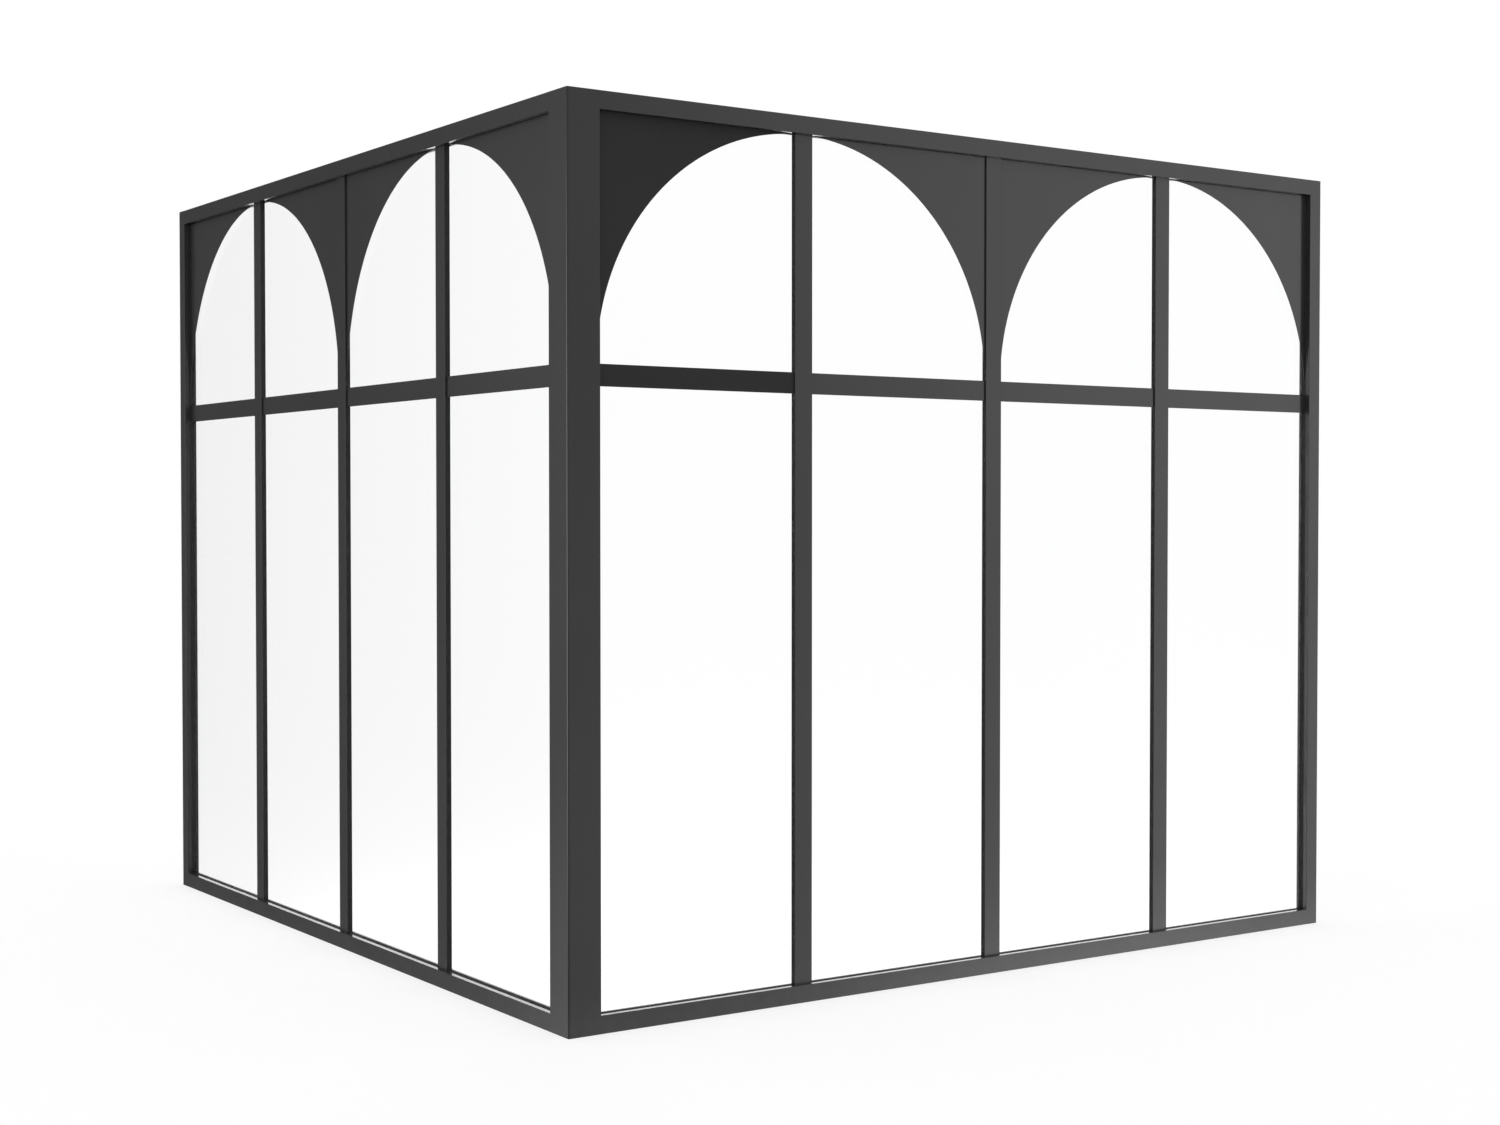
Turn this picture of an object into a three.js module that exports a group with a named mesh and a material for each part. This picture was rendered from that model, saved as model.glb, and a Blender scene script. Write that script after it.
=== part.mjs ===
// A glazed corner screen: two equal walls at a right angle, each with four tall panes under two
// half-round arches. Millimetres, +Z up. The origin is the middle of the corner post's foot, the right
// wall runs along +X and the left wall along +Y, and their front faces look away from the inner corner.
import * as THREE from "three";

// Overall
const WALL_LENGTH = 2900; // outer corner to the outer face of an end jamb
const HEIGHT = 2500;
const BAYS = 4; // per wall, two under each arch

// Frame sections
const POST = 100; // square corner post
const POST_EDGE_RADIUS = 5; // the post's outer upright edge
const FRAME_WIDTH = 50; // rails and end jambs, seen from the front
const FRAME_DEPTH = 45; // rails and end jambs, front to back
const FRAME_WALL = 3; // wall of the hollow sections
const FRONT_LIP = 15; // plain front edge of every section, ahead of the gasket

// Glazing
const GLASS_FRONT = 32; // front of the panes, behind the frame's front face
const GLASS_THICK = 6;
const GLASS_BITE = 9; // how far a pane enters the grooves at its sides and top
const GROOVE_DEPTH = 12; // a pane stands on the floor of this groove at its foot
const GASKET_THICK = 3;
const PANE_GAP = 2; // between two panes, behind a mullion

// Bars and plates before the glass
const MULLION_WIDTH = 60;
const MULLION_WALL = 2;
const PLATE_FRONT = 20; // front of the transoms and spandrels, behind the frame's front face
const PLATE_THICK = 2;
const TRANSOM_HEIGHT = 60;
const TRANSOM_RISE = 4.5; // top of the transoms above the arches' spring line
const SPANDREL_TIP = 1; // width left on a spandrel's lower point
const ARC_STEPS = 60;

// Pieces inside the hollow sections
const FOOT_PLATE_THICK = 8; // in the foot of each upright
const TOP_CAP_THICK = 5; // in the top of each upright
const CONNECTOR_LENGTH = 60; // block in each rail end, fixed to the upright there
const FIT = 0.3; // clearance round glass, plates, caps and connectors

const GROOVE_FRONT = GLASS_FRONT - FIT;
const GROOVE_BACK = GLASS_FRONT + GLASS_THICK + FIT;
const OPENING_TOP = HEIGHT - FRAME_WIDTH;
const OPENING_END = WALL_LENGTH - FRAME_WIDTH;
const BAY_WIDTH = (OPENING_END - POST - (BAYS - 1) * MULLION_WIDTH) / BAYS;
const BAY_PITCH = BAY_WIDTH + MULLION_WIDTH;
const ARCH_RADIUS = BAY_WIDTH + MULLION_WIDTH / 2;
const ARCH_SPRING = OPENING_TOP - ARCH_RADIUS; // the crown touches the top rail
const TRANSOM_TOP = ARCH_SPRING + TRANSOM_RISE;

const FRAME_PAINT = { color: 0x3c3d3f, roughness: 0.4, metalness: 0.3 };
const BAR_PAINT = { color: 0x414244, roughness: 0.45, metalness: 0.3 };
const GASKET_RUBBER = { color: 0x151515, roughness: 0.85, metalness: 0 };
const CAP_PLASTIC = { color: 0x1c1c1d, roughness: 0.7, metalness: 0 };
const BARE_ALLOY = { color: 0x9b9c9e, roughness: 0.5, metalness: 0.8 };
const CLEAR_GLASS = { color: 0xdfeae8, roughness: 0.03, metalness: 0, transparent: true, opacity: 0.25 };

// Right-handed turns from a drawn section (x, y, then the way it is extruded) to the wall's own axes.
const X = new THREE.Vector3(1, 0, 0);
const Y = new THREE.Vector3(0, 1, 0);
const Z = new THREE.Vector3(0, 0, 1);
const ALONG_WALL = new THREE.Matrix4().makeBasis(Y, Z, X); // section drawn as (depth, height)
const THROUGH_WALL = new THREE.Matrix4().makeBasis(X, Z, Y.clone().negate()); // drawn as (along, height)

function piece(name, geometry, finish) {
  const mesh = new THREE.Mesh(geometry, new THREE.MeshStandardMaterial(finish));
  mesh.name = name;
  return mesh;
}

function anticlockwise(points) {
  const vectors = points.map(([x, y]) => new THREE.Vector2(x, y));
  return THREE.ShapeUtils.isClockWise(vectors) ? vectors.reverse() : vectors;
}

function extrude(outline, length, chamber) {
  const shape = new THREE.Shape(anticlockwise(outline));
  if (chamber) {
    shape.holes.push(new THREE.Path(anticlockwise(chamber)));
  }
  return new THREE.ExtrudeGeometry(shape, { depth: length, bevelEnabled: false });
}

function rectangle(x0, x1, y0, y1) {
  return [
    [x0, y0],
    [x1, y0],
    [x1, y1],
    [x0, y1],
  ];
}

// A flat sheet parallel to the wall, its front face `front` behind the frame's front face.
function sheet(outline, front, thick) {
  return extrude(outline, thick)
    .applyMatrix4(THROUGH_WALL)
    .translate(0, front + thick, 0);
}

// The glazed side of a section from front to back: front lip, gasket seat, glass groove, rear lip.
// Each point is [depth behind the front face, depth below the glazed side]. An `inset` draws the hollow
// inside the section, that far from its outline.
function glazedSide(inset) {
  return [
    [FRONT_LIP - inset, inset],
    [FRONT_LIP - inset, GASKET_THICK + inset],
    [GROOVE_FRONT - inset, GASKET_THICK + inset],
    [GROOVE_FRONT - inset, GROOVE_DEPTH + inset],
    [GROOVE_BACK + inset, GROOVE_DEPTH + inset],
    [GROOVE_BACK + inset, inset],
  ];
}

// Rail and jamb section as [depth, distance from the plain side].
function frameOutline() {
  const glazed = glazedSide(0).map(([depth, below]) => [depth, FRAME_WIDTH - below]);
  return [[0, 0], [FRAME_DEPTH, 0], [FRAME_DEPTH, FRAME_WIDTH], ...glazed.reverse(), [0, FRAME_WIDTH]];
}

// The hollow stops below the groove, because the rear lip is too thin to be hollow.
function frameChamber(inset) {
  const back = FRAME_DEPTH - inset;
  const glazed = glazedSide(inset)
    .slice(0, 4)
    .map(([depth, below]) => [depth, FRAME_WIDTH - below]);
  return [
    [inset, inset],
    [back, inset],
    [back, FRAME_WIDTH - GROOVE_DEPTH - inset],
    ...glazed.reverse(),
    [inset, FRAME_WIDTH - inset],
  ];
}

// Post section as [x, y] from the outer corner; its +X and +Y sides are both glazed.
function postSides(inset) {
  const sideX = glazedSide(inset).map(([depth, below]) => [POST - below, depth]);
  const sideY = glazedSide(inset).map(([depth, below]) => [depth, POST - below]);
  const far = POST - inset;
  return [[far, inset], ...sideX, [far, far], ...sideY.reverse(), [inset, far]];
}

function postOutline() {
  const roundedEdge = [];
  const steps = 5;
  for (let i = 0; i <= steps; i++) {
    const angle = Math.PI + (i / steps) * (Math.PI / 2);
    roundedEdge.push([
      POST_EDGE_RADIUS * (1 + Math.cos(angle)),
      POST_EDGE_RADIUS * (1 + Math.sin(angle)),
    ]);
  }
  return [...postSides(0), ...roundedEdge];
}

function postChamber(inset) {
  return [...postSides(inset), [inset, inset]];
}

// A hollow upright with a plate flush in its foot and a cap flush in its top.
function upright(name, outline, chamber) {
  const fill = (thick, bottom) => extrude(chamber(FRAME_WALL + FIT), thick).translate(0, 0, bottom);
  return [
    piece(name, extrude(outline, HEIGHT, chamber(FRAME_WALL)), FRAME_PAINT),
    piece(`${name}_foot_plate`, fill(FOOT_PLATE_THICK, 0), BARE_ALLOY),
    piece(`${name}_top_cap`, fill(TOP_CAP_THICK, HEIGHT - TOP_CAP_THICK), CAP_PLASTIC),
  ];
}

function endJamb(side) {
  const toPlan = (points) => points.map(([depth, across]) => [WALL_LENGTH - across, depth]);
  return upright(`${side}_end_jamb`, toPlan(frameOutline()), (inset) => toPlan(frameChamber(inset)));
}

// A rail between the post and the end jamb, with a connector block inside each end.
// `place` takes points of the rail's section to [depth, height above the floor].
function rail(name, place) {
  const lay = (outline, start, length, chamber) =>
    extrude(place(outline), length, chamber && place(chamber))
      .applyMatrix4(ALONG_WALL)
      .translate(start, 0, 0);
  const tube = lay(frameOutline(), POST, OPENING_END - POST, frameChamber(FRAME_WALL));
  const connector = (start) => lay(frameChamber(FRAME_WALL + FIT), start, CONNECTOR_LENGTH);
  return [
    piece(name, tube, FRAME_PAINT),
    piece(`${name}_post_connector`, connector(POST), BARE_ALLOY),
    piece(`${name}_jamb_connector`, connector(OPENING_END - CONNECTOR_LENGTH), BARE_ALLOY),
  ];
}

function rails(side) {
  const glazedSideUp = (points) => points;
  const glazedSideDown = (points) => points.map(([depth, across]) => [depth, HEIGHT - across]);
  return [...rail(`${side}_bottom_rail`, glazedSideUp), ...rail(`${side}_top_rail`, glazedSideDown)];
}

// Strips flush in the seats of the four frame members, pressing on the front of the glass.
function gaskets(side) {
  const strip = (end, x0, x1, z0, z1) =>
    piece(
      `${side}_gasket_${end}`,
      sheet(rectangle(x0, x1, z0, z1), FRONT_LIP, GLASS_FRONT - FRONT_LIP),
      GASKET_RUBBER,
    );
  return [
    strip("bottom", POST, OPENING_END, FRAME_WIDTH - GASKET_THICK, FRAME_WIDTH),
    strip("top", POST, OPENING_END, OPENING_TOP, OPENING_TOP + GASKET_THICK),
    strip("post", POST - GASKET_THICK, POST, FRAME_WIDTH, OPENING_TOP),
    strip("jamb", OPENING_END, OPENING_END + GASKET_THICK, FRAME_WIDTH, OPENING_TOP),
  ];
}

function mullion(name, middle) {
  const half = MULLION_WIDTH / 2;
  const outline = rectangle(middle - half, middle + half, FRONT_LIP, GLASS_FRONT);
  const inner = half - MULLION_WALL;
  const chamber = rectangle(
    middle - inner,
    middle + inner,
    FRONT_LIP + MULLION_WALL,
    GLASS_FRONT - MULLION_WALL,
  );
  const tube = extrude(outline, OPENING_TOP - FRAME_WIDTH, chamber).translate(0, 0, FRAME_WIDTH);
  return piece(name, tube, BAR_PAINT);
}

function transom(name, bayStart) {
  const bottom = TRANSOM_TOP - TRANSOM_HEIGHT;
  const outline = rectangle(bayStart, bayStart + BAY_WIDTH, bottom, TRANSOM_TOP);
  return piece(name, sheet(outline, PLATE_FRONT, PLATE_THICK), BAR_PAINT);
}

// The corner left above a quarter of an arch. `towards` is -1 for the bay before the arch's middle and
// +1 for the bay after it.
function spandrel(name, archMiddle, towards) {
  const tipAngle = Math.acos(1 - SPANDREL_TIP / ARCH_RADIUS);
  const crownAngle = Math.acos(MULLION_WIDTH / 2 / ARCH_RADIUS);
  const outerSide = archMiddle + towards * ARCH_RADIUS;
  const outline = [[outerSide, ARCH_SPRING + ARCH_RADIUS * Math.sin(tipAngle)]];
  for (let i = 0; i <= ARC_STEPS; i++) {
    const angle = tipAngle + (i / ARC_STEPS) * (crownAngle - tipAngle);
    outline.push([
      archMiddle + towards * ARCH_RADIUS * Math.cos(angle),
      ARCH_SPRING + ARCH_RADIUS * Math.sin(angle),
    ]);
  }
  outline.push([archMiddle + (towards * MULLION_WIDTH) / 2, OPENING_TOP], [outerSide, OPENING_TOP]);
  return piece(name, sheet(outline, PLATE_FRONT, PLATE_THICK), BAR_PAINT);
}

// Each pane stands on the bottom groove's floor and ends behind a mullion's middle or in an upright's groove.
function pane(name, bay) {
  const boundary = (n) => POST - MULLION_WIDTH / 2 + n * BAY_PITCH;
  const start = bay === 0 ? POST - GLASS_BITE : boundary(bay) + PANE_GAP / 2;
  const end = bay === BAYS - 1 ? OPENING_END + GLASS_BITE : boundary(bay + 1) - PANE_GAP / 2;
  const outline = rectangle(start, end, FRAME_WIDTH - GROOVE_DEPTH, OPENING_TOP + GLASS_BITE);
  return piece(name, sheet(outline, GLASS_FRONT, GLASS_THICK), CLEAR_GLASS);
}

// One wall, drawn along +X from the outer corner with its front face on y = 0.
function wall(side) {
  const group = new THREE.Group();
  group.name = `${side}_wall`;
  group.add(...rails(side), ...endJamb(side), ...gaskets(side));
  for (let bay = 0; bay < BAYS; bay++) {
    const number = bay + 1;
    const bayStart = POST + bay * BAY_PITCH;
    const isBeforeArchMiddle = bay % 2 === 0;
    const archMiddle = isBeforeArchMiddle ? bayStart + ARCH_RADIUS : bayStart - MULLION_WIDTH / 2;
    group.add(
      pane(`${side}_glass_${number}`, bay),
      transom(`${side}_transom_${number}`, bayStart),
      spandrel(`${side}_spandrel_${number}`, archMiddle, isBeforeArchMiddle ? -1 : 1),
    );
    if (number < BAYS) {
      group.add(mullion(`${side}_mullion_${number}`, bayStart + ARCH_RADIUS));
    }
  }
  return group;
}

// The left wall is the right one mirrored in the plane through the corner: x and y change places.
const leftWall = wall("left");
leftWall.matrixAutoUpdate = false;
leftWall.matrix.makeBasis(Y, X, Z);

const screen = new THREE.Group();
screen.name = "glazed_corner_screen";
screen.position.set(-POST / 2, -POST / 2, 0);
screen.add(...upright("corner_post", postOutline(), postChamber), wall("right"), leftWall);

const part = new THREE.Group();
part.add(screen);

export default part;
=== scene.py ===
import math

import bmesh
import bpy
import numpy as np
from mathutils import Euler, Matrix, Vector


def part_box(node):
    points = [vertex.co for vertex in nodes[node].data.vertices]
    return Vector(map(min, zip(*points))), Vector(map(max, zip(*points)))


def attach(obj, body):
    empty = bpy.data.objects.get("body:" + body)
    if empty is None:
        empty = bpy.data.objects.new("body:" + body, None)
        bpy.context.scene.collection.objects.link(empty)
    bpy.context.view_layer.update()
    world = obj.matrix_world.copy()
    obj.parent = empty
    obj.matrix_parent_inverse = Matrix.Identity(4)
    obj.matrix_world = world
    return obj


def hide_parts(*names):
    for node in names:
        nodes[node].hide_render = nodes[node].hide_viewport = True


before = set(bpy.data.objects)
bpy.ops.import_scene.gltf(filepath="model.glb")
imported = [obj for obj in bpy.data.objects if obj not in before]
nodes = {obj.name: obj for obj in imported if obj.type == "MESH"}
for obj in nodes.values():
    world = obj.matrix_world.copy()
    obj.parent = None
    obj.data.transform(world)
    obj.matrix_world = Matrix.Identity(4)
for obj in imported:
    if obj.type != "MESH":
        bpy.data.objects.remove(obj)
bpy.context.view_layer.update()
scene = bpy.context.scene
mm = 0.001
wallNames = ("right", "left")
bays = (1, 2, 3, 4)  # of each wall, counted from the post
bayJoints = bays[:-1]  # each between a bay and the next one
print("frame loaded:", len(nodes), "parts")


# Where a part lies on its wall: its range along the wall, in depth behind the front face, and in height.
# The left wall is the right one with x and y exchanged.
def span(wall, part):
    low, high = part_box(wall + "_" + part)
    along, depth = (0, 1) if wall == "right" else (1, 0)
    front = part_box("corner_post")[0].x
    return {
        "along": (low[along], high[along]),
        "depth": (low[depth] - front, high[depth] - front),
        "height": (low.z, high.z),
    }


# Sizes that several pieces share, all read from the boxes of the parts.
def sharedSizes():
    rail, gasket = span("right", "bottom_rail"), span("right", "gasket_bottom")
    pane, jamb = span("right", "glass_1"), span("right", "end_jamb")
    low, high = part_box("corner_post")
    return {
        "front": low.x,
        "post": high.x - low.x,
        "postFace": high.x,  # where the opening of a wall starts
        "jambFace": jamb["along"][0],  # where it ends
        "jambEnd": jamb["along"][1],
        "top": high.z,
        "width": rail["height"][1],  # of the rails and jambs, as seen from the front
        "depth": rail["depth"][1],
        "lip": gasket["depth"][0],
        "seat": gasket["height"][1] - gasket["height"][0],
        "glassFront": pane["depth"][0],
        "glassBack": pane["depth"][1],
        "groove": rail["height"][1] - pane["height"][0],
    }


size = sharedSizes()
section = {
    "wall": 3.0 * mm,  # of the hollow frame sections
    "fit": 0.3 * mm,  # clearance round the glass, plates and caps
    "softEdge": 0.9 * mm,  # radius of the outer edges
    "softLip": 0.4 * mm,  # radius of the edges along the groove
    "softChamber": 1.0 * mm,
    "postEdge": 5.0 * mm,  # the post's outer upright edge
    "softEnd": 0.3 * mm,  # at the ends of the uprights
    "softButt": 0.02 * mm,  # where two parts meet
    "arcSteps": 5,
    "endSteps": 3,
}


# A closed outline with every corner turned into an arc, and which of its sides are part of an arc. With u and
# v the unit directions from a corner to its neighbours and w half the angle between them, the arc's centre
# lies r / sin(w) from the corner along u + v. The arc's points are the blend
# (sin((1 - s) q) a + sin(s q) b) / sin(q) for s from 0 to 1, where a and b point from the centre to the two
# tangent points and q is the angle between them.
def roundedOutline(corners, radius):
    steps = section["arcSteps"]
    p = np.asarray(corners, float)
    r = np.broadcast_to(np.asarray(radius, float), (len(p),))[:, None]
    u = np.roll(p, 1, axis=0) - p
    v = np.roll(p, -1, axis=0) - p
    u /= np.linalg.norm(u, axis=1)[:, None]
    v /= np.linalg.norm(v, axis=1)[:, None]
    w = 0.5 * np.arccos(np.clip((u * v).sum(1), -1, 1))[:, None]
    middle = (u + v) / np.linalg.norm(u + v, axis=1)[:, None]
    centre = p + middle * r / np.sin(w)
    a = (p + u * r / np.tan(w) - centre)[:, None]
    b = (p + v * r / np.tan(w) - centre)[:, None]
    q = math.pi - 2 * w[:, None]
    s = np.linspace(0, 1, steps + 1)[None, :, None]
    blend = (np.sin((1 - s) * q) * a + np.sin(s * q) * b) / np.sin(q)
    outline = (centre[:, None] + blend).reshape(-1, 2)
    return outline, np.arange(len(outline)) % (steps + 1) < steps


# Twice the signed area of a closed outline, by the shoelace sum: positive for an anticlockwise one.
def doubleArea(outline):
    x, y = outline.T
    return float((x * np.roll(y, -1) - y * np.roll(x, -1)).sum())


# How far each point moves so that every side moves one unit to its left: n1 + n2 over 1 + n1.n2, where n1
# and n2 are the left-hand normals of the two sides that meet there.
def inwardMoves(outline):
    step = np.roll(outline, -1, axis=0) - outline
    normal = np.stack([-step[:, 1], step[:, 0]], 1) / np.linalg.norm(step, axis=1)[:, None]
    before = np.roll(normal, 1, axis=0)
    return (normal + before) / (1 + (normal * before).sum(1))[:, None]


# The faces between each ring of points and the next, with the points numbered ring by ring from offset on.
def ringQuads(rings, count, offset):
    ring, i = np.arange(rings - 1)[:, None], np.arange(count)
    here = offset + ring * count + i
    onward = offset + ring * count + (i + 1) % count
    return np.stack([here, onward, onward + count, here + count], 2).reshape(-1, 4)


# A section carried along a straight path from start to end. Near each end the ring at distance r (1 - cos t)
# is drawn in by r (1 - sin t), for t from 0 to a quarter turn, which rounds the end's edges to the radius r.
# The first outline is the outside and the others are hollows. place turns (section x, section y, distance)
# into x, y and z.
def carried(name, outlines, start, end, place, softEnd):
    t = np.linspace(0, math.pi / 2, section["endSteps"] + 1)
    rise, drawIn = softEnd * (1 - np.cos(t)), softEnd * (1 - np.sin(t))
    distance = np.concatenate([start + rise, (end - rise)[::-1]])
    inset = np.concatenate([drawIn, drawIn[::-1]])
    rings = len(distance)
    isEnd = np.arange(rings - 1)[:, None] != section["endSteps"]
    points, quads, smooth, startRing, offset = [], [], [], set(), 0
    for index, (outline, isArc) in enumerate(outlines):
        if (doubleArea(outline) > 0) == (index > 0):  # the metal has to lie to the left of every side
            outline, isArc = outline[::-1], np.roll(isArc[::-1], -1)
        count = len(outline)
        drawn = outline[None] + inset[:, None, None] * inwardMoves(outline)[None]
        along = np.broadcast_to(distance[:, None, None], (rings, count, 1))
        points.append(place(np.concatenate([drawn, along], 2).reshape(-1, 3)))
        quads.append(ringQuads(rings, count, offset))
        smooth.append((isArc[None] | isEnd).ravel())
        startRing.update(range(offset, offset + count))
        offset += rings * count
    mesh = bpy.data.meshes.new(name)
    mesh.from_pydata(np.concatenate(points).tolist(), [], np.concatenate(quads).tolist())
    mesh.polygons.foreach_set("use_smooth", np.concatenate(smooth))
    closeEnds(mesh, startRing)
    piece = bpy.data.objects.new(name, mesh)
    scene.collection.objects.link(piece)
    return piece


# Closes the two open ends of a carried section with flat faces and turns every face outwards.
def closeEnds(mesh, startRing):
    bm = bmesh.new()
    bm.from_mesh(mesh)
    rim = [edge for edge in bm.edges if edge.is_boundary]
    atStart = [edge.verts[0].index in startRing for edge in rim]
    for isStart in (True, False):
        edges = [edge for edge, here in zip(rim, atStart) if here == isStart]
        bmesh.ops.triangle_fill(bm, edges=edges, use_beauty=True, use_dissolve=False)
    bmesh.ops.recalc_face_normals(bm, faces=bm.faces)
    bm.to_mesh(mesh)
    bm.free()


# Turns the three columns of a carried section, named by axes, into x, y and z on one of the walls.
def onWall(wall, axes):
    def place(points):
        column = {axis: points[:, i] for i, axis in enumerate(axes)}
        x, y = column["along"], column["depth"] + size["front"]
        if wall == "left":
            x, y = y, x
        return np.stack([x, y, column["height"]], 1)

    return place


# Moves points measured from the post's outer corner to their place.
def inPlan(points):
    return points + np.array([size["front"], size["front"], 0.0])


# The glazed side of a section from front to back: front lip, gasket seat, glass groove, rear lip. Each corner
# is (depth, distance below the glazed side). A hollow is drawn inset from it.
def glazedSide(inset=0.0):
    front = size["glassFront"] - section["fit"] - inset
    back = size["glassBack"] + section["fit"] + inset
    lip, seat = size["lip"] - inset, size["seat"] + inset
    floor = size["groove"] + inset
    return np.array([(lip, inset), (lip, seat), (front, seat), (front, floor), (back, floor), (back, inset)])


# Corners on the glazed side as (depth, distance from the plain side).
def fromPlainSide(corners):
    return np.stack([corners[:, 0], size["width"] - corners[:, 1]], 1)


# The outside of a rail or jamb as (depth, distance from its plain side).
def frameOutline():
    width, depth = size["width"], size["depth"]
    groove = fromPlainSide(glazedSide())[::-1]
    corners = np.concatenate([[(0, 0), (depth, 0), (depth, width)], groove, [(0, width)]])
    soft = np.full(len(corners), section["softLip"])
    soft[[0, 1, 2, -1]] = section["softEdge"]  # the corners outside the groove
    return roundedOutline(corners, soft)


# Its hollow, which stops below the groove.
def frameHollow(inset):
    width, back = size["width"], size["depth"] - inset
    groove = fromPlainSide(glazedSide(inset)[:4])[::-1]  # down to the groove's floor
    lowShelf = (back, width - size["groove"] - inset)
    corners = np.concatenate([[(inset, inset), (back, inset), lowShelf], groove, [(inset, width - inset)]])
    return roundedOutline(corners, section["softChamber"])


# The post in plan, measured from its outer corner. Two of its sides are glazed.
def postCorners(inset):
    glazed = glazedSide(inset)
    far = size["post"] - inset
    sideX = np.stack([size["post"] - glazed[:, 1], glazed[:, 0]], 1)
    sideY = sideX[::-1, ::-1]
    return np.concatenate([[(inset, inset), (far, inset)], sideX, [(far, far)], sideY, [(inset, far)]])


def postOutline():
    corners = postCorners(0.0)
    soft = np.full(len(corners), section["softLip"])
    soft[[1, 8, -1]] = section["softEdge"]  # the corners outside the grooves, apart from the outer one
    soft[0] = section["postEdge"]
    return roundedOutline(corners, soft)


def postHollow(inset):
    return roundedOutline(postCorners(inset), section["softChamber"])


# A frame section as a jamb in plan, with its plain side at the wall's far end.
def asJamb(drawn):
    outline, isArc = drawn
    return np.stack([size["jambEnd"] - outline[:, 1], outline[:, 0]], 1), isArc


def jambHollow(inset):
    return asJamb(frameHollow(inset))


# A bottom rail's section turned over for the top of the wall.
def turnedOver(drawn):
    outline, isArc = drawn
    return np.stack([outline[:, 0], size["top"] - outline[:, 1]], 1), isArc


# Gives a piece its finish and its body, and hides the parts that it stands for.
def finishPiece(piece, finish, slot, *replaced):
    piece.data.materials.append(finish)
    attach(piece, "root")
    if replaced:
        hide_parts(*replaced)


# Lines the glass grooves of a frame section with glazing tape. The tape's pale grey is painted light that
# lifts the shade in the grooves. It covers every face whose middle lies as deep as the groove on one of the
# walls that the section holds glass for. Some thin faces on its ends are among them.
def lineGroovesWithPaintedLight(mesh, walls):
    middle = np.empty(3 * len(mesh.polygons))
    mesh.polygons.foreach_get("center", middle)
    slack = section["fit"] + section["softButt"]
    paintedLightFaces = np.zeros(len(mesh.polygons), bool)
    for wall in walls:
        depth = middle.reshape(-1, 3)[:, 1 - wallNames.index(wall)] - size["front"]
        paintedLightFaces |= (depth > size["glassFront"] - slack) & (depth < size["glassBack"] + slack)
    mesh.materials.append(grooveTapeAndPaintedLight)
    mesh.polygons.foreach_set("material_index", paintedLightFaces.astype(np.int32))


upright = {
    "capThick": 5.0 * mm,
    "capSunk": 0.6 * mm,  # below the top of the upright
    "footThick": 8.0 * mm,
    "softEdge": 0.8 * mm,  # of the caps and foot plates
}


# A hollow upright, with a cap in its top and a plate in its foot. walls are those that it holds glass for.
def makeUpright(name, outline, hollow, place, walls):
    top = size["top"]
    tube = carried(name + "_tube", [outline, hollow(section["wall"])], 0, top, place, section["softEnd"])
    finishPiece(tube, framePaint, "frame_paint", name)
    lineGroovesWithPaintedLight(tube.data, walls)
    filling = [hollow(section["wall"] + section["fit"])]
    capFoot, capTop = top - upright["capThick"], top - upright["capSunk"]
    cap = carried(name + "_cap", filling, capFoot, capTop, place, upright["softEdge"])
    finishPiece(cap, capPlastic, "cap_plastic", name + "_top_cap")
    foot = carried(name + "_foot", filling, 0, upright["footThick"], place, upright["softEdge"])
    finishPiece(foot, bareAlloy, "bare_alloy", name + "_foot_plate")


def makeUprights():
    makeUpright("corner_post", postOutline(), postHollow, inPlan, wallNames)
    for wall in wallNames:
        place = onWall(wall, ("along", "depth", "height"))
        makeUpright(wall + "_end_jamb", asJamb(frameOutline()), jambHollow, place, [wall])


# The rails run into the rounded edges of the uprights, as welded and dressed joints do.
def makeRails():
    start, end = size["postFace"] - section["softEdge"], size["jambFace"] + section["softEdge"]
    bottom = [frameOutline(), frameHollow(section["wall"])]
    rails = {"bottom_rail": bottom, "top_rail": [turnedOver(drawn) for drawn in bottom]}
    for wall in wallNames:
        place = onWall(wall, ("depth", "height", "along"))
        for part, outlines in rails.items():
            name = wall + "_" + part
            tube = carried(name + "_tube", outlines, start, end, place, section["softButt"])
            finishPiece(tube, framePaint, "frame_paint", name)
            lineGroovesWithPaintedLight(tube.data, [wall])


gasket = {
    "flutes": 3,
    "fluteDepth": 0.7 * mm,
    "tuck": 0.15 * mm,  # clearance all round
    "softEnd": 0.1 * mm,
    "steps": 36,
}


# The gasket's section as (depth, distance below the glazed side). Its open face is fluted: the distance below
# is f (1 - cos(2 pi n u)) / 2 for u from 0 to 1 across the face, with n flutes of depth f.
def gasketOutline():
    u = np.linspace(0, 1, gasket["steps"] + 1)
    front, back = size["lip"] + gasket["tuck"], size["glassFront"] - gasket["tuck"]
    below = gasket["fluteDepth"] * (1 - np.cos(2 * math.pi * gasket["flutes"] * u)) / 2 + gasket["tuck"]
    face = np.stack([front + (back - front) * u, below], 1)
    seat = size["seat"] - gasket["tuck"]
    outline = np.concatenate([face, [(back, seat), (front, seat)]])
    return outline, np.arange(len(outline)) < gasket["steps"]


def makeGaskets():
    outline, isArc = gasketOutline()
    depth, below = outline.T
    low, high = size["width"], size["top"] - size["width"]
    # For each strip: its section's second coordinate, the order of its axes, and its two ends.
    strips = {
        "bottom": (low - below, ("depth", "height", "along"), size["postFace"], size["jambFace"]),
        "top": (high + below, ("depth", "height", "along"), size["postFace"], size["jambFace"]),
        "post": (size["postFace"] - below, ("depth", "along", "height"), low, high),
        "jamb": (size["jambFace"] + below, ("depth", "along", "height"), low, high),
    }
    for wall in wallNames:
        for edge, (across, axes, start, end) in strips.items():
            name = wall + "_gasket_" + edge
            drawn = [(np.stack([depth, across], 1), isArc)]
            strip = carried(name + "_strip", drawn, start, end, onWall(wall, axes), gasket["softEnd"])
            finishPiece(strip, gasketRubber, "gasket_rubber", name)


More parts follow.
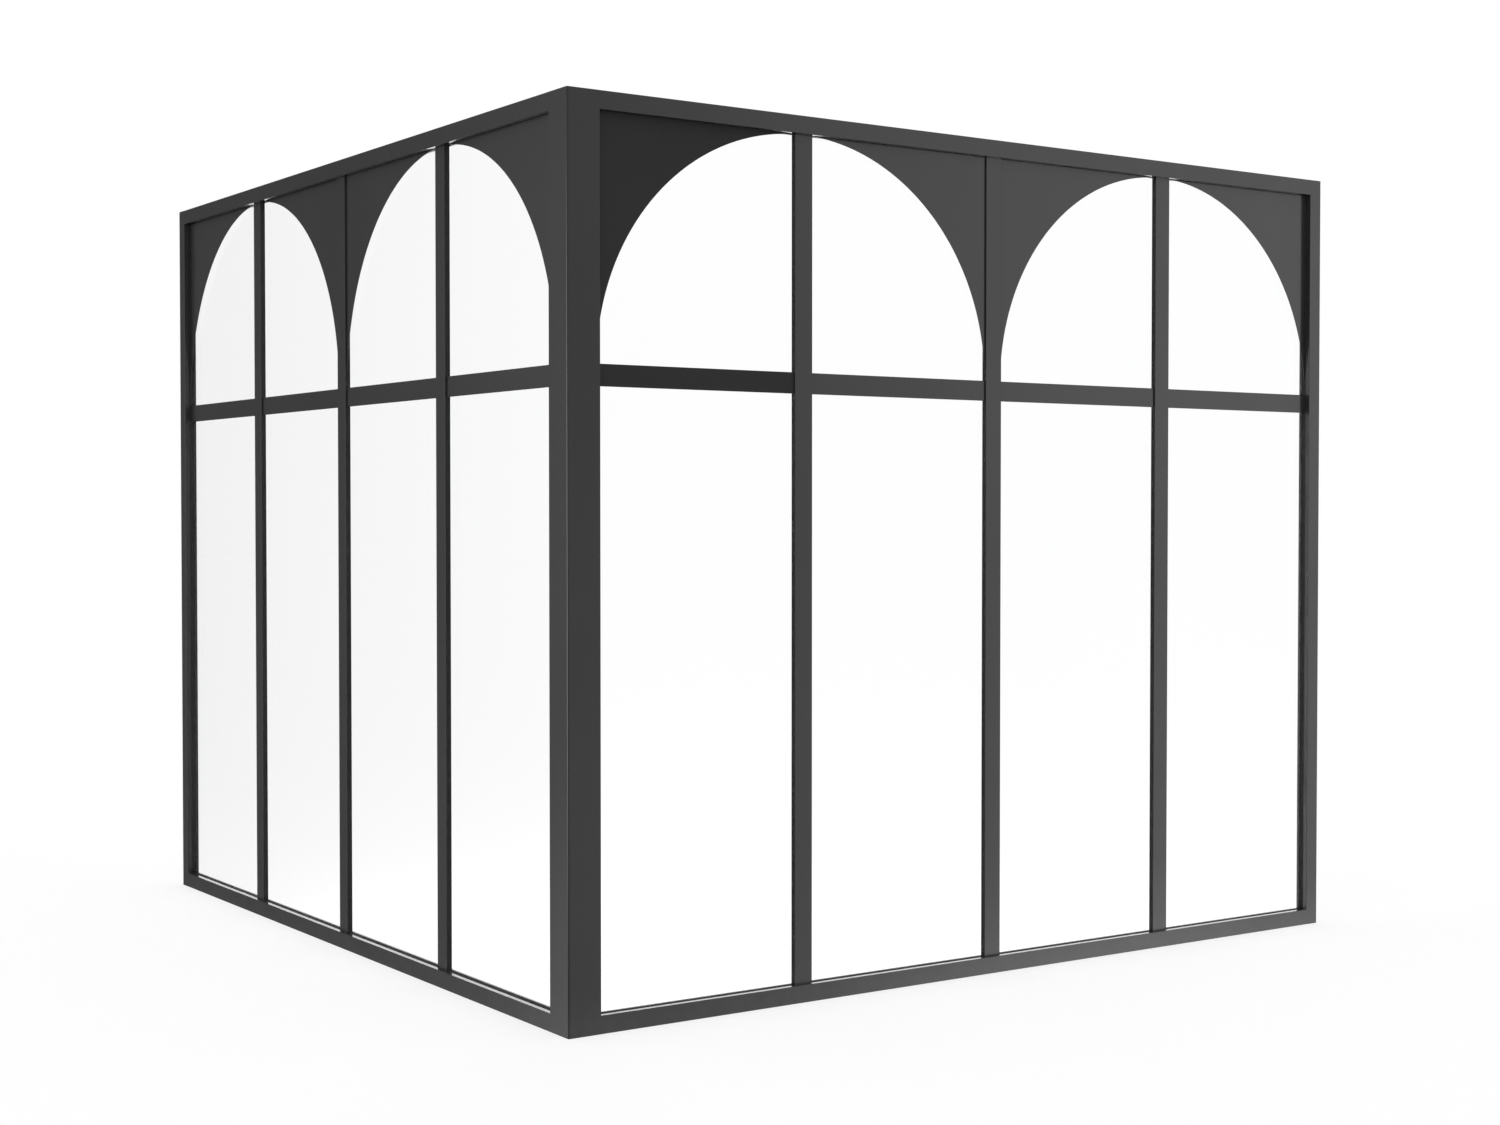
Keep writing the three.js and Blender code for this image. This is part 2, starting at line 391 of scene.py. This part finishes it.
bar = {
    "wall": 2.0 * mm,
    "softEdge": 0.8 * mm,
    "softHollow": 0.5 * mm,
    "softSheet": 0.3 * mm,
    "bond": 0.15 * mm,  # left free at the back of the mullions and sheets
    "flank": 0.7,  # a face is a flank where its unit normal has more than this along the wall
    # The sheets of this bay get the darker matt paint, which is painted shade.
    "shadedBay": ("right", 1),  # the one bay whose sheets have the matt paint
}


# The corners of a rectangle, anticlockwise from the lowest.
def rectangle(first, second):
    (a0, a1), (b0, b1) = first, second
    return np.array([(a0, b0), (a1, b0), (a1, b1), (a0, b1)])


# Gives the faces that look along the wall the darker matt paint, which is painted shade on the flanks.
def paintShadeOnFlanks(mesh, wall):
    normal = np.empty(3 * len(mesh.polygons))
    mesh.polygons.foreach_get("normal", normal)
    along = np.abs(normal.reshape(-1, 3)[:, wallNames.index(wall)])
    mesh.materials.append(shadedMattPaint)
    mesh.polygons.foreach_set("material_index", (along > bar["flank"]).astype(np.int32))


def makeMullions():
    inner = bar["wall"]
    for wall in wallNames:
        place = onWall(wall, ("along", "depth", "height"))
        for number in bayJoints:
            name = "%s_mullion_%d" % (wall, number)
            at = span(wall, "mullion_%d" % number)
            left, right = at["along"]
            front, back = at["depth"][0], at["depth"][1] - bar["bond"]
            outside = rectangle((left, right), (front, back))
            hollow = rectangle((left + inner, right - inner), (front + inner, back - inner))
            outlines = [roundedOutline(outside, bar["softEdge"]), roundedOutline(hollow, bar["softHollow"])]
            piece = carried(name + "_bar", outlines, *at["height"], place, section["softButt"])
            finishPiece(piece, barPaint, "bar_paint", name)
            # Its flanks get painted shade: the darker matt paint.
            paintShadeOnFlanks(piece.data, wall)


def makeSheet(wall, part, outline, finish):
    at = span(wall, part)
    place = onWall(wall, ("along", "height", "depth"))
    front, back = at["depth"][0], at["depth"][1] - bar["bond"]
    piece = carried("%s_%s_sheet" % (wall, part), [outline], front, back, place, bar["softSheet"])
    finishPiece(piece, finish, "bar_paint", wall + "_" + part)


arch = {
    "steps": 96,
    "tip": 1.0 * mm,  # width of the blunt lower end of a spandrel
}


# A spandrel's outline. The arch's edge is (c + k R cos t, s + R sin t): c is the arch's middle, s its spring
# line, R its radius, and k is -1 before the middle, in the odd bays, and 1 after it. t runs from the blunt
# tip to the mullion's side.
def spandrelOutline(at, number, radius, mullionHalf):
    towards = -1 if number % 2 else 1
    outer, inner = at["along"] if towards < 0 else at["along"][::-1]
    middle = outer - towards * radius
    crown = at["height"][1]
    spring = crown - radius
    t = np.linspace(math.acos(1 - arch["tip"] / radius), math.acos(mullionHalf / radius), arch["steps"] + 1)
    edge = np.stack([middle + towards * radius * np.cos(t), spring + radius * np.sin(t)], 1)
    tip = [(outer, edge[0, 1])]
    outline = np.concatenate([tip, edge, [(inner, crown), (outer, crown)]])
    side = np.arange(len(outline))
    return outline, (side > 0) & (side <= arch["steps"])


# An arch spans two bays and the mullion between them.
def makeSheets():
    bay, mullionAt = span("right", "transom_1")["along"], span("right", "mullion_1")["along"]
    mullionHalf = (mullionAt[1] - mullionAt[0]) / 2
    radius = bay[1] - bay[0] + mullionHalf
    for wall in wallNames:
        for number in bays:
            # The sheets of one bay get painted shade: the darker matt paint.
            finish = shadedMattPaint if (wall, number) == bar["shadedBay"] else barPaint
            transom, spandrel = "transom_%d" % number, "spandrel_%d" % number
            at = span(wall, transom)
            straight = roundedOutline(rectangle(at["along"], at["height"]), bar["softSheet"])
            makeSheet(wall, transom, straight, finish)
            arched = spandrelOutline(span(wall, spandrel), number, radius, mullionHalf)
            makeSheet(wall, spandrel, arched, finish)


seal = {
    "fit": 0.05 * mm,  # clearance to the panes
    "hollow": 0.5 * mm,
    "softEnd": 0.05 * mm,
    "steps": 10,
}


# A tooled seal between two panes. Its back face is hollowed: at u from -1 to 1 across the gap it lies
# h (1 - u squared) in front of the glass's back.
def sealOutline(left, right):
    front = size["glassFront"]
    u = np.linspace(-1, 1, seal["steps"] + 1)
    across = (left + right) / 2 + u * (right - left) / 2
    back = size["glassBack"] - seal["hollow"] * (1 - u * u)
    outline = np.concatenate([np.stack([across, back], 1), [(right, front), (left, front)]])
    return outline, np.arange(len(outline)) < seal["steps"]


# One behind each mullion.
def makeSeals():
    for wall in wallNames:
        place = onWall(wall, ("along", "depth", "height"))
        for number in bayJoints:
            name = "%s_pane_seal_%d" % (wall, number)
            before, after = span(wall, "glass_%d" % number), span(wall, "glass_%d" % (number + 1))
            left, right = before["along"][1] + seal["fit"], after["along"][0] - seal["fit"]
            drawn = [sealOutline(left, right)]
            piece = carried(name, drawn, *before["height"], place, seal["softEnd"])
            finishPiece(piece, sealant, "gasket_rubber")


# Adds a shader node. Each input gets a value, or a link from another node's output.
def node(tree, kind, inputs=None, **settings):
    made = tree.nodes.new(kind)
    for key, value in settings.items():
        setattr(made, key, value)
    for key, value in (inputs or {}).items():
        if isinstance(value, bpy.types.NodeSocket):
            tree.links.new(value, made.inputs[key])
        else:
            made.inputs[key].default_value = value
    return made


# An empty material, its node tree, and the place of each point in Object coordinates.
def newFinish(name):
    finish = bpy.data.materials.new(name)
    finish.use_nodes = True
    tree = finish.node_tree
    tree.nodes.clear()
    place = node(tree, "ShaderNodeTexCoord").outputs["Object"]
    return finish, tree, place


def grey(level):
    return (level, level, level, 1.0)


# A blend between two colours, each reached at its own level of the factor.
def shades(tree, factor, levels, colours):
    ramp = node(tree, "ShaderNodeValToRGB", {"Fac": factor})
    for element, level, colour in zip(ramp.color_ramp.elements, levels, colours):
        element.position = level
        element.color = colour
    return ramp.outputs["Color"]


noiseRange = (0.3, 0.7)  # where most of a noise lies


def noise(tree, place, scale, detail=2.0, rough=0.5):
    inputs = {"Vector": place, "Scale": scale, "Detail": detail, "Roughness": rough}
    return node(tree, "ShaderNodeTexNoise", inputs).outputs["Fac"]


# Carries a value over from one range to another.
def ranged(tree, value, source, target, **settings):
    inputs = {
        "Value": value,
        "From Min": source[0],
        "From Max": source[1],
        "To Min": target[0],
        "To Max": target[1],
    }
    return node(tree, "ShaderNodeMapRange", inputs, **settings).outputs["Result"]


def maths(tree, operation, first, second):
    return node(tree, "ShaderNodeMath", {0: first, 1: second}, operation=operation).outputs["Value"]


def dot(tree, first, second):
    return node(tree, "ShaderNodeVectorMath", {0: first, 1: second}, operation="DOT_PRODUCT").outputs["Value"]


# The colour inputs of the mix node are numbers 6 and 7, and its colour output is number 2.
def mixed(tree, factor, first, second):
    return node(tree, "ShaderNodeMix", {0: factor, 6: first, 7: second}, data_type="RGBA").outputs[2]


def bumped(tree, height, strength, depth):
    inputs = {"Height": height, "Strength": strength, "Distance": depth}
    return node(tree, "ShaderNodeBump", inputs).outputs["Normal"]


# Powder coat: cloudy shade, a fine orange-peel skin, patchy gloss, and a trace of dust towards the floor.
def paint(name, tone, look):
    finish, tree, place = newFinish(name)
    cloud = noise(tree, place, look["cloudScale"], detail=3.0)
    cloudShades = (grey(tone * (1 - look["spread"])), grey(tone * (1 + look["spread"])))
    coat = shades(tree, cloud, noiseRange, cloudShades)
    height = node(tree, "ShaderNodeSeparateXYZ", {"Vector": place}).outputs["Z"]
    settled = ranged(tree, height, (0.0, look["dustHeight"]), (look["dust"], 0.0))
    drifts = noise(tree, place, look["dustScale"], detail=4.0, rough=0.6)
    patches = ranged(tree, drifts, noiseRange, look["dustPatches"])
    colour = mixed(tree, maths(tree, "MULTIPLY", settled, patches), coat, look["dustColour"])
    gloss = ranged(tree, noise(tree, place, look["glossScale"], detail=3.0), noiseRange, look["rough"])
    peel = noise(tree, place, look["peelScale"], rough=0.4)
    shader = node(tree, "ShaderNodeBsdfPrincipled", {
        "Base Color": colour,
        "Roughness": gloss,
        "IOR": look["ior"],
        "Coat Weight": look["coat"],
        "Coat Roughness": look["coatRough"],
        "Coat IOR": look["coatIor"],
        "Normal": bumped(tree, peel, look["peelStrength"], look["peelDepth"]),
    })
    node(tree, "ShaderNodeOutputMaterial", {"Surface": shader.outputs["BSDF"]})
    return finish


paintLook = {
    "spread": 0.08,
    "cloudScale": 1.6,
    "rough": (0.30, 0.36),
    "glossScale": 7.0,
    "ior": 1.5,
    "coat": 1.0,
    "coatRough": 0.08,
    "coatIor": 1.5,
    "peelScale": 650.0,
    "peelStrength": 0.12,
    "peelDepth": 0.1 * mm,
    "dust": 0.10,
    "dustHeight": 0.12,
    "dustScale": 18.0,
    "dustPatches": (0.35, 1.0),
    "dustColour": (0.18, 0.175, 0.165, 1.0),
}
# A darker matt copy of the paint, which is painted shade on the mullion flanks and on the sheets of one bay.
shadedMattLook = {**paintLook, "coat": 0.0, "rough": (0.68, 0.76)}
paintTone = {"frame": 0.021, "bar": 0.021, "shadedMatt": 0.0165}
framePaint = paint("framePaint", paintTone["frame"], paintLook)
barPaint = paint("barPaint", paintTone["bar"], paintLook)
shadedMattPaint = paint("shadedMattPaint", paintTone["shadedMatt"], shadedMattLook)

bloomRange = (0.3, 0.75)  # the levels of the noise at which the bloom is darkest and palest
bloomShades = (0.75, 1.35)  # its shades there, as multiples of the tone


# Rubber, tape, sealant or plastic: matt, with a cloudy bloom and a fine grain. The tape's pale grey is
# painted light.
def softMatt(name, look):
    finish, tree, place = newFinish(name)
    bloom = noise(tree, place, look["bloomScale"], detail=4.0, rough=0.6)
    grain = noise(tree, place, look["grainScale"])
    shader = node(tree, "ShaderNodeBsdfPrincipled", {
        "Base Color": shades(tree, bloom, bloomRange, [grey(look["tone"] * shade) for shade in bloomShades]),
        "Roughness": ranged(tree, bloom, noiseRange, look["rough"]),
        "Specular IOR Level": look["specular"],
        "Normal": bumped(tree, grain, look["grainStrength"], look["grainDepth"]),
    })
    node(tree, "ShaderNodeOutputMaterial", {"Surface": shader.outputs["BSDF"]})
    return finish


gasketRubber = softMatt("gasketRubber", {
    "tone": 0.024,
    "bloomScale": 40.0,
    "grainScale": 900.0,
    "grainStrength": 0.25,
    "grainDepth": 0.08 * mm,
    "rough": (0.60, 0.72),
    "specular": 0.25,
})
# Glazing tape whose pale grey is painted light: it lifts the shade in the glass grooves.
grooveTapeAndPaintedLight = softMatt("grooveTapeAndPaintedLight", {
    "tone": 0.22,
    "bloomScale": 40.0,
    "grainScale": 600.0,
    "grainStrength": 0.1,
    "grainDepth": 0.05 * mm,
    "rough": (0.6, 0.7),
    "specular": 0.3,
})
sealant = softMatt("sealant", {
    "tone": 0.015,
    "bloomScale": 25.0,
    "grainScale": 300.0,
    "grainStrength": 0.15,
    "grainDepth": 0.05 * mm,
    "rough": (0.4, 0.5),
    "specular": 0.4,
})
capPlastic = softMatt("capPlastic", {
    "tone": 0.016,
    "bloomScale": 60.0,
    "grainScale": 1200.0,
    "grainStrength": 0.3,
    "grainDepth": 0.05 * mm,
    "rough": (0.5, 0.62),
    "specular": 0.4,
})


# Mill-finish alloy with fine drawn streaks along x.
def alloy(name, look):
    finish, tree, place = newFinish(name)
    stretched = node(tree, "ShaderNodeMapping", {"Vector": place, "Scale": look["stretch"]}).outputs["Vector"]
    streaks = noise(tree, stretched, look["streakScale"], detail=3.0)
    streakShades = (grey(look["tone"] * look["streakDark"]), grey(look["tone"]))
    shader = node(tree, "ShaderNodeBsdfPrincipled", {
        "Base Color": shades(tree, streaks, look["streakRange"], streakShades),
        "Metallic": 1.0,
        "Roughness": ranged(tree, streaks, noiseRange, look["rough"]),
        "Normal": bumped(tree, streaks, look["streakStrength"], look["streakDepth"]),
    })
    node(tree, "ShaderNodeOutputMaterial", {"Surface": shader.outputs["BSDF"]})
    return finish


bareAlloy = alloy("bareAlloy", {
    "tone": 0.55,
    "stretch": (4.0, 90.0, 90.0),
    "streakScale": 6.0,
    "streakRange": (0.35, 0.65),
    "streakDark": 0.85,  # the darkest shade, as a share of the tone
    "streakStrength": 0.2,
    "streakDepth": 0.03 * mm,
    "rough": (0.38, 0.5),
})


# Clear float glass with a faint drift of tint. Shadow rays pass straight through it, a little darker.
def glass(name, look):
    finish, tree, place = newFinish(name)
    drift = noise(tree, place, look["driftScale"])
    clear = node(tree, "ShaderNodeBsdfPrincipled", {
        "Base Color": shades(tree, drift, noiseRange, (look["tint"], look["paleTint"])),
        "Roughness": look["rough"],
        "IOR": look["ior"],
        "Transmission Weight": 1.0,
    })
    through = node(tree, "ShaderNodeBsdfTransparent", {"Color": look["shadowTint"]})
    isShadow = node(tree, "ShaderNodeLightPath").outputs["Is Shadow Ray"]
    either = {0: isShadow, 1: clear.outputs["BSDF"], 2: through.outputs["BSDF"]}
    pane = node(tree, "ShaderNodeMixShader", either)
    node(tree, "ShaderNodeOutputMaterial", {"Surface": pane.outputs["Shader"]})
    return finish


clearGlass = glass("clearGlass", {
    "tint": (0.990, 0.995, 0.993, 1.0),
    "paleTint": (0.997, 0.999, 0.998, 1.0),
    "driftScale": 0.8,
    "rough": 0.0,
    "ior": 1.15,  # lower than that of plain glass, for a coated pane that mirrors little
    "shadowTint": (0.93, 0.945, 0.94, 1.0),
})
print("finishes made")

makeUprights()
makeRails()
makeGaskets()
makeMullions()
makeSheets()
makeSeals()
print("frame, gaskets, bars and seals made")


# The panes and connectors keep their own shape. Every other part is hidden behind its new piece.
def dressNodes():
    for name, shown in nodes.items():
        if shown.hide_render:
            continue
        finish = clearGlass if "_glass_" in name else bareAlloy
        shown.data.materials.clear()
        shown.data.materials.append(finish)


dressNodes()
print("panes and connectors finished")

view = {
    "lens": 52.31,  # mm, as the sensor's width is
    "sensor": 36.0,
    "place": (-2.878, -5.033, 1.386),
    "yaw": 55.64,  # degrees from +x
    "pitch": -1.3,
}


# An unturned camera looks straight down with its top towards +y, so 90 degrees are added to its pitch and
# taken from its yaw.
def makeCamera():
    data = bpy.data.cameras.new("camera")
    data.lens = view["lens"]
    data.sensor_width = view["sensor"]
    data.sensor_fit = "HORIZONTAL"
    camera = bpy.data.objects.new("camera", data)
    camera.location = view["place"]
    camera.rotation_euler = Euler((math.radians(90 + view["pitch"]), 0, math.radians(view["yaw"] - 90)))
    scene.collection.objects.link(camera)
    scene.camera = camera


studio = {
    "floorReach": 60.0,
    "floorTone": 0.25,
    "floorLift": 0.75,  # brightness added to the floor where it is seen directly or through glass
    "floorBounce": 0.85,  # brightness added to the light that it throws back on matt surfaces
    "pool": 0.65,  # brightness added near the post where the floor is seen through glass
    "poolReach": 2.0,  # distance from the post within which the pool is even
    "fill": 1.0,  # world light on matt surfaces
    "evenGloss": 0.05,  # what gloss mirrors where no panel stands
}
# What gloss mirrors: broad soft panels far away. Each has its direction, as azimuth from +x and elevation,
# the angles from it within which the panel is full and past which it is dark, all in degrees, and its
# brightness.
room = {
    "overhead": (0, 90, 30, 60, 0.7),
    "front": (-80, 0, 10, 30, 0.2),
    "frontLeft": (-120, 0, 15, 45, 0.15),
    "behindLeft": (164, 0, 10, 24, 2.2),
    "left": (142, 3, 8, 28, 0.45),
    "farLeft": (112, 0, 20, 45, 0.03),
    "leftGround": (130, -14, 2, 13, 0.9),
    "rightGround": (-45, -20, 2, 12, 1.8),
    "rightLow": (-45, -10, 3, 20, 0.35),
    "right": (-42, 5, 3, 20, 0.17),
    "rightHigh": (-45, 15, 3, 18, 0.5),
    "farRight": (-30, -10, 5, 25, 0.25),
    "backRight": (52, 0, 22, 40, 1.3),
}


# 1 on a path that has met gloss, and 0 on any other. The depth counts whole bounces.
def isMirrored(tree, path):
    return maths(tree, "GREATER_THAN", path["Glossy Depth"], 0.5)


# 1 on a path that comes straight from the camera or through glass.
def isSeen(tree, path):
    return maths(tree, "MAXIMUM", path["Is Camera Ray"], path["Is Transmission Ray"])


# A pool of light round the post: its strength over the square of the distance, and even within its reach.
def poolOfLight(tree, place):
    square = maths(tree, "MAXIMUM", dot(tree, place, place), studio["poolReach"] ** 2)
    return maths(tree, "DIVIDE", studio["pool"], square)


# A pale floor that gloss doesn't mirror.
def makeFloor():
    reach = (-studio["floorReach"], studio["floorReach"])
    corners = np.pad(rectangle(reach, reach), ((0, 0), (0, 1)))
    mesh = bpy.data.meshes.new("floor")
    mesh.from_pydata(corners.tolist(), [], [(0, 1, 2, 3)])
    floor = bpy.data.objects.new("floor", mesh)
    scene.collection.objects.link(floor)
    finish, tree, place = newFinish("floorFinish")
    lit = node(tree, "ShaderNodeBsdfDiffuse", {"Color": grey(studio["floorTone"])})
    path = node(tree, "ShaderNodeLightPath").outputs
    pool = maths(tree, "MULTIPLY", path["Is Transmission Ray"], poolOfLight(tree, place))
    lift = maths(tree, "ADD", maths(tree, "MULTIPLY", isSeen(tree, path), studio["floorLift"]), pool)
    bounce = maths(tree, "MULTIPLY", path["Is Diffuse Ray"], studio["floorBounce"])
    strength = maths(tree, "ADD", lift, bounce)
    glow = node(tree, "ShaderNodeEmission", {"Color": grey(1.0), "Strength": strength})
    pale = node(tree, "ShaderNodeAddShader", {0: lit.outputs["BSDF"], 1: glow.outputs["Emission"]})
    clear = node(tree, "ShaderNodeBsdfTransparent")
    shown = {0: isMirrored(tree, path), 1: pale.outputs["Shader"], 2: clear.outputs["BSDF"]}
    either = node(tree, "ShaderNodeMixShader", shown)
    node(tree, "ShaderNodeOutputMaterial", {"Surface": either.outputs["Shader"]})
    finish.cycles.emission_sampling = "NONE"
    mesh.materials.append(finish)


# The brightness of the panels in a direction: each fades smoothly between its two angles.
def roomLight(tree, direction):
    light = studio["evenGloss"]
    for *angles, brightness in room.values():
        azimuth, elevation, inner, outer = (math.radians(angle) for angle in angles)
        flat = math.cos(elevation)
        towards = (math.cos(azimuth) * flat, math.sin(azimuth) * flat, math.sin(elevation))
        facing = dot(tree, direction, towards)
        fade = (math.cos(outer), math.cos(inner))
        glow = ranged(tree, facing, fade, (0.0, brightness), interpolation_type="SMOOTHSTEP")
        light = maths(tree, "ADD", light, glow)
    return light


# White where it is seen directly or through glass. Gloss mirrors the room. Matt surfaces get an even fill.
def makeWorld():
    world = bpy.data.worlds.new("studio")
    world.use_nodes = True
    tree = world.node_tree
    tree.nodes.clear()
    path = node(tree, "ShaderNodeLightPath").outputs
    direction = node(tree, "ShaderNodeTexCoord").outputs["Generated"]
    inGloss = isMirrored(tree, path)
    seen = maths(tree, "MULTIPLY", isSeen(tree, path), maths(tree, "SUBTRACT", 1.0, inGloss))
    lighting = mixed(tree, inGloss, grey(studio["fill"]), roomLight(tree, direction))
    colour = mixed(tree, seen, lighting, grey(1.0))
    background = node(tree, "ShaderNodeBackground", {"Color": colour, "Strength": 1.0})
    node(tree, "ShaderNodeOutputWorld", {"Surface": background.outputs["Background"]})
    scene.world = world


makeCamera()
makeFloor()
makeWorld()
scene.view_settings.view_transform = "Standard"
print("studio made")
